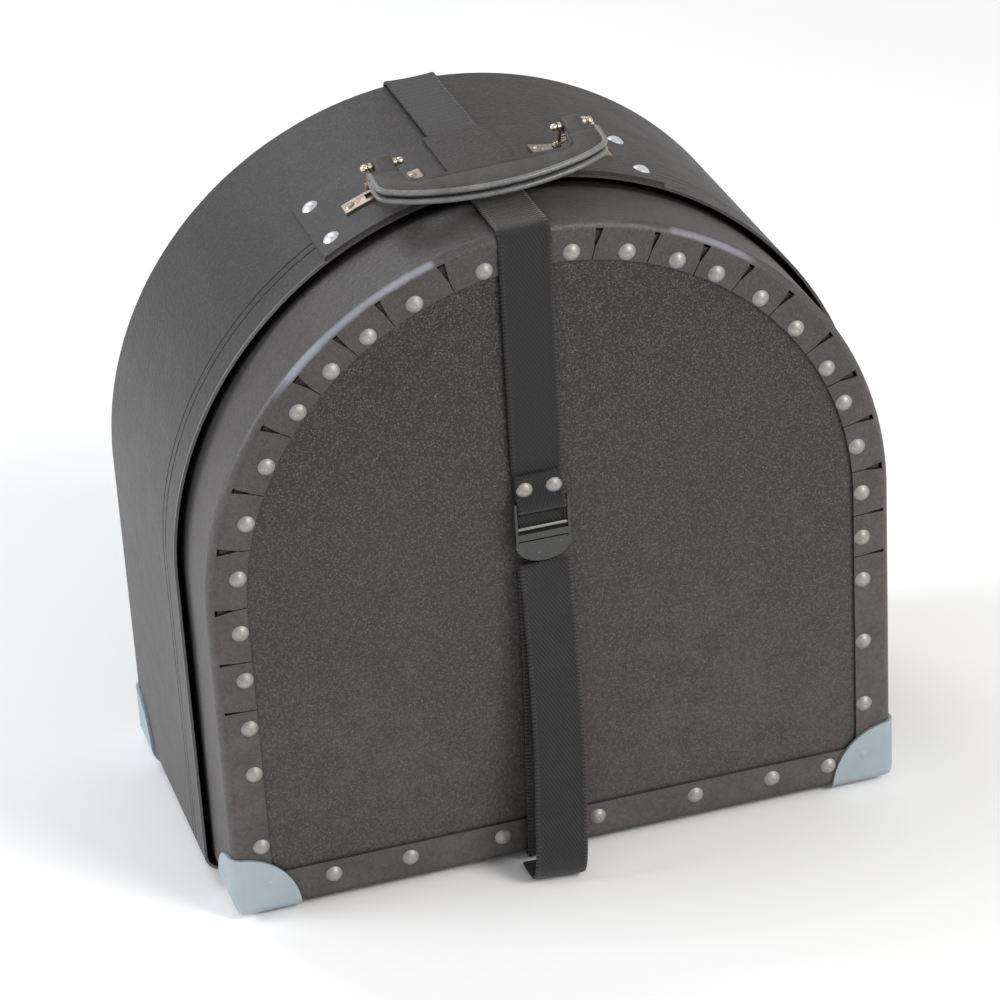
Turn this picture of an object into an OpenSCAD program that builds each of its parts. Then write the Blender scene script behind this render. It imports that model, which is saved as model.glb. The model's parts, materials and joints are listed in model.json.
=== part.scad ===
// Fibre drum case standing on its flat side: two telescoping D-shaped halves, a webbing
// strap with a ladder buckle, steel corner caps and a padded carrying handle on links.
// Frame: +X right, +Y back, +Z up; origin on the floor under the middle of the whole case.

/* [Case body] */
// Width of the front half over its straight sides
front_w = 360; // [300:1:420]
// Height of the centre of the arch above the floor
arch_z = 177; // [140:1:200]
// Depth of the closed case, face to face
case_d = 197; // [160:1:260]
// Depth of the front half that shows when closed
front_show = 49; // [30:1:80]
// Full depth of the front half's wall
front_d = 125; // [100:1:150]
// Fibre sheet thickness
sheet_t = 1.5; // [1.2:0.1:3]
// How much wider the rear half is on each side
step_out = 5; // [4.5:0.1:8]
// Clearance between the two bases
base_gap = 0.4; // [0.3:0.1:1]

/* [Bent edge and rivets] */
// Outer radius of the bent edge
bend_r = 5; // [4:0.5:7]
// Radius of the bottom corners
corner_r = 10; // [8:1:16]
// Width of the tabs round the sides and the arch
tab_w = 20; // [20:1:30]
// Width of the tab along the base
base_tab = 21.6; // [18:0.1:26]
// Distance of the rivets from the outer edge
rivet_inset = 15.5; // [12:0.5:18]
// Rivet head radius
head_r = 4.4; // [3.5:0.1:5]
// Rivet head height
head_h = 2.4; // [1.5:0.1:3.5]
// Rivet shank radius
shank_r = 1.8; // [1.5:0.1:2.5]
// Depth of the dimple in the head as a share of its radius
dimple = 0.08; // [0.04:0.01:0.15]

/* [Corner caps] */
// Radius of each cap lobe
cap_r = 34; // [28:1:45]
// Height a cap stands proud
cap_t = 1.6; // [1.5:0.1:2.5]

/* [Strap and buckle] */
// Webbing width
strap_w = 27; // [25:1:30]
// Webbing thickness
strap_t = 1.4; // [1.2:0.1:1.5]
// Sideways offset of the strap on the front
strap_x = -8; // [-15:1:15]
// Height of the buckle's pivot bar
buckle_z = 209.5; // [150:0.5:230]
// Buckle frame length below the pivot
buckle_len = 20; // [18:1:28]
// How far the hanging tail bulges ahead of the front face
bulge = 30; // [20:1:45]

/* [Handle] */
// Rotation of handle and strap about the arch centre, left is negative
crown_a = -2.45; // [-5:0.05:5]
// Half the distance between the two handle links
link_x = 49; // [40:1:60]
// Distance of the handle bases behind the front edge of the rear half
base_back = 27.5; // [14:0.5:30]
// Distance between the two pins of a link
link_len = 14; // [12:1:24]
// Forward lean of the links
link_lean = 27; // [0:1:35]
// Forward droop of the grip
grip_droop = 8; // [0:1:12]
// Grip length
grip_l = 120; // [100:1:140]
// Reach of the grip from its pivot to its outer edge
grip_reach = 44; // [40:1:60]
// Grip thickness
grip_t = 9; // [7:0.5:12]

/* [Hidden] */
$fn = 96;
half_f = front_w / 2;
half_r = half_f + step_out;
z0_r = cap_t;
z0_f = z0_r + sheet_t + base_gap;
front_y = (bulge + strap_t / 2 - case_d - strap_t) / 2;
rear_y = front_y + case_d;
edge_y = front_y + front_show;
rear_d = case_d - front_show;
clear = 0.05;
arch_left = [10, 23, 32.5, 41, 50, 61, 72, 82.5];
arch_right = [5.5, 15.5, 25, 33, 43, 52.5, 63, 71, 80.5, 90];
side_left = [168, 141, 113, 86, 42.5];
side_right = [151, 126, 89, 51];
base_left = [128, 87, 37];
base_right = [15, 69, 112, 144];
base_rivet_z = 13.5;
notch_left = [16.5, 28, 36.5, 45.5, 55, 66.5, 77.5, 88.5];
notch_right = [10, 20, 29, 38, 47, 58, 67, 76, 85.5];
notch_side_left = [152, 124];
notch_side_right = [165, 141];
notch_wide = 4.2;
notch_thin = 0.5;
notch_lip = 3.6;
patch_a = 28.4;
patch_back = 63;
patch_rivet_a = 25.6;
groove_w = 1.6;
groove_back = [18, 24];
patch_t = 2;
plate_t = 1.3;
plate_w = 10;
plate_half = 20.5;
plate_rivet_a = 5.27;
knuckle_r = 2.4;
knuckle_half = 4.9;
pin_r = 1.3;
ball_r = 2.1;
leg_r = 2.2;
link_in = 5.6;
link_out = 7.2;
pin_out = 8.3;
base_pin_y = edge_y + base_back;
base_pin_h = sqrt(pow(half_r + patch_t, 2) - pow(link_x - link_out, 2)) + leg_r + 0.3;
top_pin_y = base_pin_y - link_len * sin(link_lean);
top_pin_h = base_pin_h + link_len * cos(link_lean);
loop_w = 9.4;
loop_r = 4.5;
grip_bow = 128;
grip_corner = 10;
grip_back = 9;
finger_half = 41.5;
finger_depth = 14;
buckle_half = 14.4;
rail = 1.4;
fold_w = 25.3;
woven_w = 25;
bar_r = 2;
bar_out = 4.2;

// ---------- helpers ----------

// extrudes a shape drawn in X-Z backwards along +Y from y0
module along_y(y0, len) translate([0, y0 + len, 0]) rotate([90, 0, 0]) linear_extrude(len) children();

// turns things drawn at the crown of the arch to an angle, positive to the right
module at_arch(a) translate([0, 0, arch_z]) rotate([0, a, 0]) children();

// outline of a half: round arch over straight sides, rounded bottom corners
module d_shape(half, z0, rc) {
    translate([0, arch_z]) intersection() {
        circle(r = half, $fn = 180);
        translate([-half, 0]) square([2 * half, half]);
    }
    translate([-half, z0 + rc]) square([2 * half, arch_z - z0 - rc]);
    if (rc > 0) {
        translate([-half + rc, z0]) square([2 * (half - rc), rc]);
        for (s = [-1, 1]) translate([s * (half - rc), z0 + rc]) circle(r = rc);
    }
}

// quarter ring that joins wall and tabs
module bend_profile() intersection() {
    difference() {
        circle(r = bend_r);
        circle(r = bend_r - sheet_t);
    }
    square(bend_r);
}

// bent edge running round the outline, face at y = 0
module bent_edge(half, z0) {
    translate([0, bend_r, arch_z]) rotate([90, 0, 0]) rotate_extrude(angle = 180, $fn = 180)
        translate([half - bend_r, 0]) bend_profile();
    for (s = [0, 1]) mirror([s, 0, 0]) {
        translate([half - bend_r, bend_r, z0 + corner_r]) mirror([0, 1, 0])
            linear_extrude(arch_z - z0 - corner_r) bend_profile();
        translate([half - corner_r, bend_r, z0 + corner_r]) rotate([90, 0, 0]) rotate([0, 0, 270])
            rotate_extrude(angle = 90) translate([corner_r - bend_r, 0]) bend_profile();
    }
    translate([corner_r - half, bend_r, z0 + bend_r]) rotate([0, 90, 0]) mirror([0, 1, 0])
        linear_extrude(2 * (half - corner_r)) bend_profile();
}

// cut between two tabs, drawn at the crown: a wedge from the bent edge that ends as a fine slit
module notch(half, wide, slant) along_y(-1, bend_r + 1.5) {
    thin = notch_thin / 2;
    wedge = half - notch_lip - 0.6 * (tab_w - notch_lip);
    polygon([[-wide / 2, half - notch_lip], [wide / 2, half - notch_lip],
        [0.6 * slant + thin, wedge], [slant + thin, half - tab_w - 1],
        [slant - thin, half - tab_w - 1], [0.6 * slant - thin, wedge]]);
}

module notches(half) {
    for (i = [0:len(notch_left) - 1]) at_arch(-notch_left[i])
        notch(half, notch_wide - 0.8 * (i % 3), 1.5 - (i % 2));
    for (i = [0:len(notch_right) - 1]) at_arch(notch_right[i])
        notch(half, notch_wide - 0.9 * (i % 2), (i % 3) - 2);
    for (z = notch_side_left) translate([0, 0, z - arch_z]) at_arch(-90) notch(half, 1.6, -1);
    for (z = notch_side_right) translate([0, 0, z - arch_z]) at_arch(90) notch(half, 1.8, 1);
}

// puts children, drawn pointing forward at the origin, on every rivet station
module rivet_stations(half, z0) {
    for (a = arch_left) at_arch(-a) translate([0, 0, half - rivet_inset]) children();
    for (a = arch_right) at_arch(a) translate([0, 0, half - rivet_inset]) children();
    for (z = side_left) translate([rivet_inset - half, 0, z]) children();
    for (z = side_right) translate([half - rivet_inset, 0, z]) children();
    for (x = base_left) translate([-x, 0, z0 + base_rivet_z]) children();
    for (x = base_right) translate([x, 0, z0 + base_rivet_z]) children();
}

// puts children on the face station of each bottom corner cap
module cap_face_stations(half, z0) for (s = [-1, 1]) translate([s * (half - 17), 0, z0 + 17]) children();

// puts children, pointing outwards, on the side station of each bottom corner cap
module cap_side_stations(half, z0) for (s = [0, 1]) mirror([s, 0, 0])
    translate([half, 17, z0 + 17]) rotate([0, 0, 90]) children();

module drill(r) translate([0, -30, 0]) rotate([-90, 0, 0]) cylinder(r = r, h = 60);

// domed rivet, head towards -Y sitting on y = 0, clinched behind a stack this thick
module rivet(r, h, stack, tail) {
    dome = (r * r + h * h) / (2 * h);
    rotate([90, 0, 0]) rotate_extrude() {
        difference() {
            intersection() {
                translate([0, h - dome]) circle(r = dome);
                square([r, h]);
            }
            translate([0, h + (0.36 - dimple) * r]) circle(r = 0.36 * r);
        }
        translate([0, -stack - tail]) square([shank_r, stack + tail]);
        translate([0, -stack - tail]) square([r * 0.85, tail]);
    }
}

// band with bent tabs, face at y = 0, running back
module shell_wall(half, z0, depth) difference() {
    union() {
        along_y(bend_r, depth - bend_r) difference() {
            d_shape(half, z0, corner_r);
            d_shape(half - sheet_t, z0 + sheet_t, corner_r - sheet_t);
        }
        along_y(0, sheet_t) difference() {
            d_shape(half - bend_r, z0 + bend_r, corner_r - bend_r);
            d_shape(half - tab_w, z0 + base_tab, 0);
        }
        bent_edge(half, z0);
    }
    notches(half);
    rivet_stations(half, z0) drill(shank_r + clear);
    cap_face_stations(half, z0) drill(shank_r + clear);
    cap_side_stations(half, z0) drill(shank_r + clear);
}

// end panel behind the tabs
module shell_panel(half, z0) difference() {
    along_y(sheet_t, sheet_t) d_shape(half - bend_r - 0.1, z0 + bend_r + 0.1, corner_r - bend_r);
    rivet_stations(half, z0) drill(shank_r + clear);
    cap_face_stations(half, z0) drill(shank_r + clear);
}

// square with one rounded corner at the origin, filling x < 0, y > 0
module corner_profile(s, r) {
    translate([-s, 0]) square([s - r, s]);
    translate([-s, r]) square([s, s - r]);
    translate([-r, r]) circle(r = r);
}

// corner block filling x < 0, y > 0, z > 0 from its outer faces, with the shell's own roundings
module round_corner(s, grow) intersection() {
    linear_extrude(s) corner_profile(s, bend_r + grow);
    translate([0, s, 0]) rotate([90, 0, 0]) linear_extrude(s) corner_profile(s, corner_r + grow);
    translate([-s, 0, 0]) rotate([90, 0, 90]) linear_extrude(s) mirror([1, 0])
        corner_profile(s, bend_r + grow);
}

// pressed steel cap on the right bottom corner, face at y = 0
module cap(half, z0) difference() {
    translate([half, 0, z0]) intersection() {
        difference() {
            translate([cap_t, -cap_t, -cap_t]) round_corner(cap_r + 8, cap_t);
            round_corner(cap_r + 20, 0);
        }
        sphere(r = cap_r);
    }
    cap_face_stations(half, z0) drill(shank_r + clear);
    cap_side_stations(half, z0) drill(shank_r + clear);
}

// frame of the crown fittings, turned a little to the left, origin at the arch centre
module crown() at_arch(crown_a) children();

module ring(r0, r1) difference() {
    circle(r = r1, $fn = 180);
    circle(r = r0, $fn = 180);
}

// strip of a ring round the arch centre, between two X limits, near its top
module arc_strip(r0, r1, x0, x1) intersection() {
    ring(r0, r1);
    translate([x0, r0 * 0.7]) square([x1 - x0, r1]);
}

// ---------- rear half ----------

module rear_frame() translate([0, rear_y, 0]) mirror([0, 1, 0]) children();

// pair of fine grooves pressed into the band round the sides and the arch
module groove_profile() polygon([[0.1, -groove_w / 2], [0.1, groove_w / 2], [-groove_w / 2, 0]]);

module grooves() for (b = groove_back, s = [0, 1]) mirror([s, 0, 0]) translate([0, edge_y + b, 0]) {
    translate([0, 0, arch_z]) rotate([90, 0, 0])
        rotate_extrude(angle = 90, $fn = 180) translate([half_r, 0]) groove_profile();
    translate([half_r, 0, z0_r + corner_r]) linear_extrude(arch_z - z0_r - corner_r) groove_profile();
}

module patch_stations() for (s = [-1, 1], b = [13, 53])
    crown() rotate([0, s * patch_rivet_a, 0]) translate([0, edge_y + b, half_r + patch_t])
        rotate([-90, 0, 0]) children();

module lone_station() crown() rotate([0, 24, 0]) translate([0, edge_y + 83, half_r])
    rotate([-90, 0, 0]) children();

module base_stations() for (s = [-1, 1], d = [-1, 1])
    crown() rotate([0, s * asin(link_x / half_r) + d * plate_rivet_a, 0])
        translate([0, base_pin_y, half_r + patch_t + plate_t]) rotate([-90, 0, 0]) children();

module rear_wall() color([0.22, 0.21, 0.21]) difference() {
    rear_frame() shell_wall(half_r, z0_r, rear_d);
    grooves();
    patch_stations() drill(shank_r + clear);
    lone_station() drill(shank_r + clear);
    base_stations() drill(shank_r + clear);
}

module rear_panel() color([0.2, 0.19, 0.19]) rear_frame() shell_panel(half_r, z0_r);

module rear_rivets() color([0.75, 0.74, 0.7]) rear_frame() rivet_stations(half_r, z0_r)
    rivet(head_r, head_h, 2 * sheet_t, 1.2);

module rear_cap_right() color([0.62, 0.68, 0.7]) rear_frame() cap(half_r, z0_r);

module rear_cap_left() color([0.62, 0.68, 0.7]) mirror([1, 0, 0]) rear_frame() cap(half_r, z0_r);

module cap_rivets(half, z0) {
    cap_face_stations(half, z0) translate([0, -cap_t, 0]) rivet(2.4, 0.5, cap_t + 2 * sheet_t, 1);
    cap_side_stations(half, z0) translate([0, -cap_t, 0]) rivet(2.4, 0.5, cap_t + sheet_t, 1);
}

module rear_cap_rivets() color([0.7, 0.72, 0.72]) rear_frame() cap_rivets(half_r, z0_r);

module handle_patch() color([0.24, 0.23, 0.23]) difference() {
    crown() along_y(edge_y, patch_back) {
        lift = strap_t + 0.1;
        side = half_r * sin(patch_a);
        for (s = [0, 1]) mirror([s, 0, 0]) {
            arc_strip(half_r, half_r + patch_t, strap_w / 2 + 1, side);
            arc_strip(half_r, half_r + lift + patch_t, strap_w / 2 + 1, strap_w / 2 + 3.5);
        }
        arc_strip(half_r + lift, half_r + lift + patch_t, -strap_w / 2 - 3.5, strap_w / 2 + 3.5);
    }
    patch_stations() drill(shank_r + clear);
    base_stations() drill(shank_r + clear);
}

module patch_rivets() color([0.78, 0.8, 0.82]) {
    patch_stations() rivet(head_r, 2, patch_t + sheet_t + clear, 1);
    lone_station() rivet(head_r, 2, sheet_t + clear, 1);
}

// curved strip lying on the patch with a barrel standing on its middle for the link's pin
module handle_base() difference() {
    union() {
        difference() {
            along_y(base_pin_y - plate_w / 2, plate_w)
                arc_strip(half_r + patch_t, half_r + patch_t + plate_t, link_x - plate_half,
                    link_x + plate_half);
            for (x = [-pin_out - 0.5, link_in - 0.4])
                translate([link_x + x, base_pin_y - leg_r - 0.5, half_r * 0.9])
                    cube([pin_out + 0.9 - link_in, 2 * leg_r + 1, half_r * 0.3]);
        }
        translate([link_x - knuckle_half, base_pin_y, base_pin_h]) rotate([0, 90, 0])
            cylinder(r = knuckle_r, h = 2 * knuckle_half);
        along_y(base_pin_y - knuckle_r, 2 * knuckle_r) difference() {
            translate([link_x - knuckle_half, half_r * 0.9])
                square([2 * knuckle_half, base_pin_h - half_r * 0.9]);
            circle(r = half_r + patch_t, $fn = 180);
        }
    }
    translate([link_x - pin_out, base_pin_y, base_pin_h]) rotate([0, 90, 0])
        cylinder(r = pin_r, h = 2 * pin_out);
}

module handle_base_right() color([0.78, 0.74, 0.68]) difference() {
    crown() handle_base();
    base_stations() drill(shank_r + clear);
}

module handle_base_left() color([0.78, 0.74, 0.68]) difference() {
    crown() mirror([1, 0, 0]) handle_base();
    base_stations() drill(shank_r + clear);
}

module handle_base_rivets() color([0.78, 0.74, 0.68]) base_stations()
    rivet(2.8, 1.2, plate_t + patch_t + sheet_t + clear, 1);

module base_pin(s) color([0.85, 0.82, 0.76]) crown()
    translate([s * link_x, base_pin_y, base_pin_h]) rotate([0, 90, 0]) {
        translate([0, 0, -pin_out]) cylinder(r = pin_r, h = 2 * pin_out);
        for (z = [-pin_out, link_out + 0.2]) translate([0, 0, z])
            cylinder(r = pin_r + 0.6, h = pin_out - link_out - 0.2);
    }

module base_pin_left() base_pin(-1);
module base_pin_right() base_pin(1);

module strap_rear_top() color([0.12, 0.12, 0.12]) crown()
    along_y(edge_y + 0.3, rear_y + strap_t - edge_y - 0.3)
        arc_strip(half_r, half_r + strap_t, -strap_w / 2, strap_w / 2);

module strap_rear_back() color([0.12, 0.12, 0.12]) along_y(rear_y, strap_t) intersection() {
    translate([strap_x - strap_w / 2, z0_r]) square([strap_w, 2 * arch_z + half_r]);
    translate([0, arch_z]) circle(r = half_r, $fn = 180);
}

module strap_rear_bottom() color([0.12, 0.12, 0.12])
    translate([strap_x - strap_w / 2, edge_y + 0.3, z0_r - strap_t])
        cube([strap_w, rear_y + strap_t - edge_y - 0.3, strap_t]);

// ---------- front half ----------

module front_frame() translate([0, front_y, 0]) children();

module front_wall() color([0.25, 0.24, 0.24]) front_frame() shell_wall(half_f, z0_f, front_d);

module front_panel() color([0.22, 0.21, 0.21]) difference() {
    front_frame() shell_panel(half_f, z0_f);
    end_stations() drill(shank_r + clear);
}

module front_rivets() color([0.8, 0.79, 0.75]) front_frame() rivet_stations(half_f, z0_f)
    rivet(head_r, head_h, 2 * sheet_t, 1.2);

module front_cap_right() color([0.62, 0.68, 0.7]) front_frame() cap(half_f, z0_f);

module front_cap_left() color([0.62, 0.68, 0.7]) mirror([1, 0, 0]) front_frame() cap(half_f, z0_f);

module front_cap_rivets() color([0.7, 0.72, 0.72]) front_frame() cap_rivets(half_f, z0_f);

module strap_front_top() color([0.12, 0.12, 0.12]) crown()
    along_y(front_y - strap_t, front_show + strap_t - 0.5)
        arc_strip(half_f, half_f + strap_t, -strap_w / 2, strap_w / 2);

module end_stations() for (s = [-1, 1])
    translate([strap_x + s * 7.7, front_y - 2 * strap_t, buckle_z + 8.6]) children();

// upper strap: flat on the face, folded forward round the buckle's pivot bar
module strap_front_upper() color([0.12, 0.12, 0.12]) difference() {
    union() {
        along_y(front_y - strap_t, strap_t) intersection() {
            union() {
                translate([strap_x - strap_w / 2, buckle_z + 10]) square([strap_w, half_f]);
                translate([strap_x - fold_w / 2, buckle_z]) square([fold_w, 20]);
            }
            translate([0, arch_z]) circle(r = half_f, $fn = 180);
        }
        translate([strap_x - fold_w / 2, front_y - 2 * strap_t, buckle_z + 2])
            cube([fold_w, strap_t, 15]);
        translate([strap_x - fold_w / 2, front_y - bar_out, buckle_z]) rotate([0, 90, 0])
            cylinder(r = bar_r + strap_t, h = fold_w);
    }
    translate([strap_x - strap_w, front_y - bar_out, buckle_z]) rotate([0, 90, 0])
        cylinder(r = bar_r + clear, h = 2 * strap_w);
    end_stations() drill(shank_r + clear);
}

// two rivets clamp the fold to the strap and the panel behind it
module strap_end_rivets() color([0.72, 0.71, 0.68]) end_stations()
    rivet(head_r, head_h, 2 * strap_t + 2 * sheet_t, 1.2);

module strap_front_under() color([0.12, 0.12, 0.12])
    translate([strap_x - strap_w / 2, front_y, z0_f - strap_t])
        cube([strap_w, front_show - 0.5, strap_t]);

// webbing seen from the side: points are [distance ahead of the face, height]
function side_at(p, i, d) = let (a = p[max(i - 1, 0)], b = p[min(i + 1, len(p) - 1)],
    n = norm(b - a)) [p[i][0] - d * (b[1] - a[1]) / n, p[i][1] + d * (b[0] - a[0]) / n];

module webbing(p) translate([strap_x - strap_w / 2, front_y, 0]) rotate([90, 0, 90])
    linear_extrude(strap_w) mirror([1, 0]) polygon(concat(
        [for (i = [0:len(p) - 1]) side_at(p, i, strap_t / 2)],
        [for (i = [len(p) - 1:-1:0]) side_at(p, i, -strap_t / 2)]));

module strap_front_lower() color([0.12, 0.12, 0.12])
    webbing([[0, z0_f - strap_t / 2], [1.5, z0_f - 0.5], [2, z0_f + 1], [2, 60], [2.1, 124],
        [2.7, 152], [3, 178]]);

// free end: hangs from the buckle, bulges forward and tucks back along the floor
module strap_tail() color([0.12, 0.12, 0.12])
    webbing([[4.2, 1.2], [17, 1.2], [bulge - 8, 2.5], [bulge - 2, 7.5], [bulge, 18],
        [bulge - 3, 36], [bulge - 10, 65], [13, 106], [8.2, 142], [6, 178]]);

// ---------- buckle ----------

module buckle() color([0.08, 0.08, 0.08]) translate([strap_x, front_y, buckle_z]) {
    for (x = [-buckle_half, buckle_half - rail]) translate([x, -6.3, -buckle_len])
        cube([rail, 4, buckle_len + 2.8]);
    translate([-buckle_half, -bar_out, 0]) rotate([0, 90, 0]) cylinder(r = bar_r, h = 2 * buckle_half);
    translate([-buckle_half, -5.6, -12.6]) cube([2 * buckle_half, 3, 1.8]);
    translate([-buckle_half, -6.3, -18.3]) cube([2 * buckle_half, 4, 4]);
    along_y(-6.3, 2.2) intersection() {
        translate([0, -15.2]) circle(r = 15.5);
        translate([-buckle_half, -32]) square([2 * buckle_half, 14]);
    }
}

module strap_woven() color([0.12, 0.12, 0.12])
    translate([strap_x - woven_w / 2, front_y - strap_t - 0.5, buckle_z - buckle_len - 9])
        cube([woven_w, strap_t, buckle_len + 4.5]);

// ---------- handle ----------

// U-shaped link: two side plates from the base pin up to the top pin, tied by a round cross bar
module link(s) color([0.78, 0.74, 0.68]) crown() translate([s * link_x, base_pin_y, base_pin_h])
    rotate([link_lean, 0, 0]) difference() {
        union() {
            for (x = [-link_out, link_in]) {
                for (z = [0, link_len]) translate([x, 0, z]) rotate([0, 90, 0])
                    cylinder(r = leg_r, h = link_out - link_in);
                translate([x, -leg_r, 0]) cube([link_out - link_in, 2 * leg_r, link_len]);
            }
            translate([-link_out, 0, 5.6]) rotate([0, 90, 0]) cylinder(r = 1, h = 2 * link_out);
        }
        translate([-link_x / 2, 0, 0]) rotate([0, 90, 0]) cylinder(r = pin_r + clear, h = link_x);
        translate([-link_x / 2, 0, link_len]) rotate([0, 90, 0]) cylinder(r = pin_r, h = link_x);
    }

module link_left() link(-1);
module link_right() link(1);

module top_pin(s) color([0.85, 0.82, 0.76]) crown()
    translate([s * link_x, top_pin_y, top_pin_h]) rotate([0, 90, 0]) {
        translate([0, 0, -link_out - 0.2]) cylinder(r = pin_r, h = 2 * link_out + 0.4);
        for (z = [-1, 1]) translate([0, 0, z * (link_out + 0.2 + ball_r * 0.8)]) sphere(r = ball_r);
    }

module top_pin_left() top_pin(-1);
module top_pin_right() top_pin(1);

// frame of the grip: origin on the pivot axis, reaching towards -Y
module grip_frame() crown() translate([0, top_pin_y, top_pin_h]) rotate([grip_droop, 0, 0]) children();

module handle_grip() color([0.18, 0.18, 0.18]) grip_frame()
    translate([0, 0, -grip_t / 2]) linear_extrude(grip_t) difference() {
        intersection() {
            translate([-grip_l / 2, -grip_reach]) square([grip_l, grip_reach - grip_back]);
            translate([0, grip_bow - grip_reach]) circle(r = grip_bow, $fn = 180);
            union() {
                inner = grip_l / 2 - grip_corner;
                translate([-inner, -grip_reach]) square([2 * inner, grip_reach]);
                translate([-grip_l / 2, -grip_reach + 23]) square([grip_l, grip_reach]);
                for (x = [-inner, inner]) translate([x, -grip_reach + 23]) circle(r = grip_corner);
            }
        }
        translate([-finger_half, -grip_back - finger_depth]) square([2 * finger_half, 30]);
    }

// stiff leather ear that wraps the top pin
module handle_loop(s) color([0.16, 0.16, 0.16]) grip_frame() translate([s * link_x, 0, 0])
    difference() {
        union() {
            translate([-loop_w / 2, 0, 0]) rotate([0, 90, 0]) cylinder(r = loop_r, h = loop_w);
            translate([-loop_w / 2, -grip_back, -3.5]) cube([loop_w, grip_back, 7]);
        }
        translate([-loop_w, 0, 0]) rotate([0, 90, 0]) cylinder(r = pin_r + clear, h = 2 * loop_w);
    }

module handle_loop_left() handle_loop(-1);
module handle_loop_right() handle_loop(1);

rear_panel();
rear_wall();
rear_rivets();
rear_cap_left();
rear_cap_right();
rear_cap_rivets();
handle_patch();
patch_rivets();
handle_base_left();
handle_base_right();
handle_base_rivets();
base_pin_left();
base_pin_right();
strap_rear_top();
strap_rear_back();
strap_rear_bottom();
front_panel();
front_wall();
front_rivets();
front_cap_left();
front_cap_right();
front_cap_rivets();
strap_front_top();
strap_front_upper();
strap_end_rivets();
strap_front_under();
strap_front_lower();
strap_tail();
buckle();
strap_woven();
link_left();
link_right();
top_pin_left();
top_pin_right();
handle_grip();
handle_loop_left();
handle_loop_right();
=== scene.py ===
"""Looks of the fibre drum case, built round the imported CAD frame.
Metres, +X right, +Y back, +Z up; the front face looks along -Y."""
import json
import math

import bmesh
import bpy
from mathutils import Matrix, Vector, geometry


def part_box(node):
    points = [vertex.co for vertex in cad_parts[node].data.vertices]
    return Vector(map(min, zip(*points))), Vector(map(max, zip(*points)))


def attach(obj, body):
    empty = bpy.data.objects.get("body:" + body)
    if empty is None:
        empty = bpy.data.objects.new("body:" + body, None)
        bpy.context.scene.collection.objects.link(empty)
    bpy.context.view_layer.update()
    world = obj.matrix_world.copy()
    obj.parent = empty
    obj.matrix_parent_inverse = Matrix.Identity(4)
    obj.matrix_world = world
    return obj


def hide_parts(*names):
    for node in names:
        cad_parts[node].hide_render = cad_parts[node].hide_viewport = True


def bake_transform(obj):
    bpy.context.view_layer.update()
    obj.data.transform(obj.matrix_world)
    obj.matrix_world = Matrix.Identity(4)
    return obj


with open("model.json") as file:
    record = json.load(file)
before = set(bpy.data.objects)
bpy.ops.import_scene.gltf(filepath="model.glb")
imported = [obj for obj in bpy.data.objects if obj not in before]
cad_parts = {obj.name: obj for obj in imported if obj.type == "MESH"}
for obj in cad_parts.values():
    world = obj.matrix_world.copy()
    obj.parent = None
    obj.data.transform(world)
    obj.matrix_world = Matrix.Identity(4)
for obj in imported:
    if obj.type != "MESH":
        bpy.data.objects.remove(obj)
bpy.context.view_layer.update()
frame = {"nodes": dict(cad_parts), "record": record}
nodes = frame["nodes"]
joints = {j["name"]: j for j in frame["record"]["behaviour"]["joints"]}
MM = 0.001

# ---------- places taken from the frame ----------
FRONT_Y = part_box("front_wall")[0].y
EDGE_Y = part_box("rear_wall")[0].y
REAR_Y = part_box("rear_wall")[1].y
HALF_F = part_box("front_wall")[1].x
HALF_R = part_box("rear_wall")[1].x
Z0_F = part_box("front_wall")[0].z
Z0_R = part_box("rear_wall")[0].z
ARCH_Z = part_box("front_wall")[1].z - HALF_F
STRAP_X = (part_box("strap_front_lower")[0].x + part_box("strap_front_lower")[1].x) / 2
STRAP_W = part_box("strap_front_lower")[1].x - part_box("strap_front_lower")[0].x
STRAP_T = Z0_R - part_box("strap_rear_bottom")[0].z
HALF_T = STRAP_T / 2
BUCKLE = Vector(joints["buckle_pivot"]["pos_m"])
PIN = Vector(joints["handle_pivot"]["pos_m"])
AXIS = -Vector(joints["handle_pivot"]["axis"]).normalized()  # along the pins, to the right
CROWN = math.atan2(-AXIS.z, AXIS.x)  # turn of the strap and the handle about the arch centre
BEND_R = 5 * MM                      # bend between face and band


def crown_point(x, y, r):
    """Point at offset x along the pin axis, depth y and height r above the arch centre."""
    a, s = math.cos(CROWN), math.sin(CROWN)
    return Vector((x * a + r * s, y, ARCH_Z - x * s + r * a))


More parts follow.
